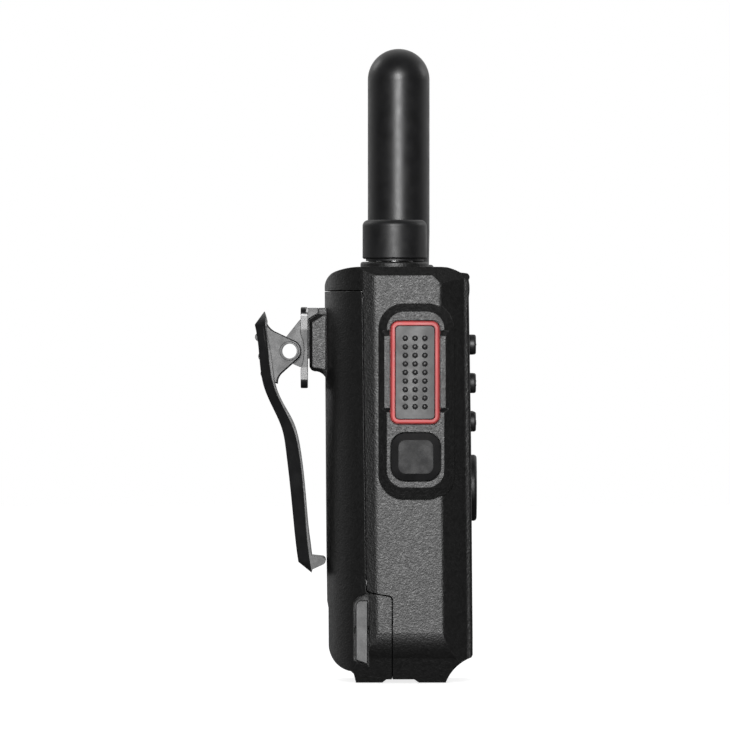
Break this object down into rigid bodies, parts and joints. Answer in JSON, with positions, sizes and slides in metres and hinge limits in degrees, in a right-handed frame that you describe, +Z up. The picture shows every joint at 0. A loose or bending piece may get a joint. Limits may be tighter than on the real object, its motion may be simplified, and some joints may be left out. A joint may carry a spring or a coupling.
{
  "type": "portable two-way radio",
  "caption": "Hand-held two-way radio with a stub antenna, volume knob, side push-to-talk key, display, speaker, removable battery pack and sprung belt clip.",
  "frame": {"origin": "on the surface the radio stands on, midway across its width, between its front and rear feet", "axes": "+Z up along the antenna, -Y towards the front with the display and speaker, -X towards the side with the push-to-talk key"},
  "size_m": [0.0577, 0.0556, 0.1588],
  "materials": {
    "housing_plastic": "spark-eroded matte black",
    "pack_plastic": "spark-eroded matte black",
    "latch_plastic": "fine satin black",
    "antenna_rubber": "satin black rubber",
    "knob_plastic": "satin black",
    "ptt_frame_plastic": "coral red, satin gloss",
    "pad_rubber": "satin dark grey rubber",
    "key_rubber": "matte black rubber",
    "clip_plastic": "smooth black",
    "clip_metal": "satin grey",
    "spring_steel": "bright",
    "display_lens": "glossy dark window",
    "display_glass": "dark display",
    "light_guide": "milky",
    "speaker_fabric": "black woven cloth",
    "speaker_metal": "stamped steel",
    "speaker_paper": "treated paper cone",
    "circuit_board": "solder mask",
    "chip_plastic": "moulded packages",
    "shield_metal": "tinned steel",
    "brass_metal": "turned brass",
    "gold_contact": "gold plate",
    "chassis_metal": "die-cast",
    "screw_steel": "plated",
    "seal_rubber": "silicone",
    "cell_wrap": "shrink wrap",
    "foam": "foam",
    "core_nylon": "nylon"
  },
  "bodies": {
    "radio_body": {"front_housing": "housing_plastic", "rear_chassis": "chassis_metal", "chassis_screws": "screw_steel", "chassis_seal": "seal_rubber", "main_board": "circuit_board", "shield_can": "shield_metal", "board_chips": "chip_plastic", "control_board": "circuit_board", "display_module": "display_glass", "display_window": "display_lens", "key_dome_sheet": "seal_rubber", "speaker_frame": "speaker_metal", "speaker_magnet": "speaker_metal", "speaker_cone": "speaker_paper", "speaker_cloth": "speaker_fabric", "microphone": "shield_metal", "microphone_boot": "seal_rubber", "status_light_guide": "light_guide", "side_switch_board": "circuit_board", "side_switches": "chip_plastic", "rotary_encoder": "shield_metal", "encoder_nut": "brass_metal", "antenna_insert": "brass_metal", "antenna_core": "core_nylon", "antenna_coil": "brass_metal", "antenna_sheath": "antenna_rubber", "speaker_jack": "chip_plastic", "microphone_jack": "chip_plastic", "contact_holder": "chip_plastic", "contact_leaves": "gold_contact"},
    "volume_knob": {"volume_knob": "knob_plastic", "knob_shaft": "chassis_metal"},
    "ptt_key": {"ptt_frame": "ptt_frame_plastic", "ptt_pad": "pad_rubber"},
    "function_key": {"function_key": "key_rubber"},
    "round_key": {"round_key": "key_rubber"},
    "centre_key": {"centre_key": "key_rubber"},
    "accessory_cover": {"accessory_cover": "key_rubber"},
    "battery_pack": {"battery_shell": "pack_plastic", "battery_inner_cover": "pack_plastic", "battery_contact_pads": "gold_contact", "battery_cell": "cell_wrap", "battery_foam": "foam", "protection_board": "circuit_board", "charging_contacts": "gold_contact", "latch_spring_left": "spring_steel", "latch_spring_right": "spring_steel"},
    "latch_left": {"latch_left": "latch_plastic"},
    "latch_right": {"latch_right": "latch_plastic"},
    "clip_base": {"clip_base": "clip_metal", "clip_pivot": "spring_steel", "clip_spring": "spring_steel"},
    "clip_lever": {"clip_lever": "clip_plastic"},
    "upper_left_key": {"upper_left_key": "key_rubber"},
    "middle_left_key": {"middle_left_key": "key_rubber"},
    "lower_left_key": {"lower_left_key": "key_rubber"},
    "upper_right_key": {"upper_right_key": "key_rubber"},
    "middle_right_key": {"middle_right_key": "key_rubber"},
    "lower_right_key": {"lower_right_key": "key_rubber"}
  },
  "joints": [
    {"name": "volume_turn", "type": "hinge", "parent": "radio_body", "child": "volume_knob", "pos_m": [-0.013, 0.001, 0.105], "axis": [0, 0, -1], "range_deg": [0, 280]},
    {"name": "ptt_press", "type": "slide", "parent": "radio_body", "child": "ptt_key", "axis": [1, 0, 0], "range_m": [0, 0.0009], "stiffness_N_per_m": 900, "springref_m": -0.00071},
    {"name": "function_press", "type": "slide", "parent": "radio_body", "child": "function_key", "axis": [1, 0, 0], "range_m": [0, 0.0008], "stiffness_N_per_m": 800, "springref_m": -0.0008},
    {"name": "round_key_press", "type": "slide", "parent": "radio_body", "child": "round_key", "axis": [0, 1, 0], "range_m": [0, 0.0006], "stiffness_N_per_m": 800, "springref_m": -0.0008},
    {"name": "centre_key_press", "type": "slide", "parent": "radio_body", "child": "centre_key", "axis": [0, 1, 0], "range_m": [0, 0.0006], "stiffness_N_per_m": 800, "springref_m": -0.0008},
    {"name": "upper_left_key_press", "type": "slide", "parent": "radio_body", "child": "upper_left_key", "axis": [0, 1, 0], "range_m": [0, 0.0006], "stiffness_N_per_m": 800, "springref_m": -0.0008},
    {"name": "middle_left_key_press", "type": "slide", "parent": "radio_body", "child": "middle_left_key", "axis": [0, 1, 0], "range_m": [0, 0.0006], "stiffness_N_per_m": 800, "springref_m": -0.0008},
    {"name": "lower_left_key_press", "type": "slide", "parent": "radio_body", "child": "lower_left_key", "axis": [0, 1, 0], "range_m": [0, 0.0006], "stiffness_N_per_m": 800, "springref_m": -0.0008},
    {"name": "upper_right_key_press", "type": "slide", "parent": "radio_body", "child": "upper_right_key", "axis": [0, 1, 0], "range_m": [0, 0.0006], "stiffness_N_per_m": 800, "springref_m": -0.0008},
    {"name": "middle_right_key_press", "type": "slide", "parent": "radio_body", "child": "middle_right_key", "axis": [0, 1, 0], "range_m": [0, 0.0006], "stiffness_N_per_m": 800, "springref_m": -0.0008},
    {"name": "lower_right_key_press", "type": "slide", "parent": "radio_body", "child": "lower_right_key", "axis": [0, 1, 0], "range_m": [0, 0.0006], "stiffness_N_per_m": 800, "springref_m": -0.0008},
    {"name": "accessory_cover_open", "type": "hinge", "parent": "radio_body", "child": "accessory_cover", "pos_m": [0.0274, -0.003, 0.0653], "axis": [0, 1, 0], "range_deg": [0, 120]},
    {"name": "battery_pull", "type": "slide", "parent": "radio_body", "child": "battery_pack", "axis": [0, 1, 0], "range_m": [0, 0.024]},
    {"name": "latch_left_press", "type": "slide", "parent": "battery_pack", "child": "latch_left", "axis": [1, 0, 0], "range_m": [0, 0.0012], "stiffness_N_per_m": 600, "springref_m": -0.00107, "deforming": ["latch_spring_left"]},
    {"name": "latch_right_press", "type": "slide", "parent": "battery_pack", "child": "latch_right", "axis": [-1, 0, 0], "range_m": [0, 0.0012], "stiffness_N_per_m": 600, "springref_m": -0.00107, "deforming": ["latch_spring_right"]},
    {"name": "clip_slide", "type": "slide", "parent": "battery_pack", "child": "clip_base", "axis": [0, 0, 1], "range_m": [0, 0.014]},
    {"name": "clip_open", "type": "hinge", "parent": "clip_base", "child": "clip_lever", "pos_m": [0, 0.02735, 0.0825], "axis": [1, 0, 0], "range_deg": [0, 30], "stiffness_Nm_per_rad": 0.15, "springref_deg": -20.05, "deforming": ["clip_spring"]}
  ]
}
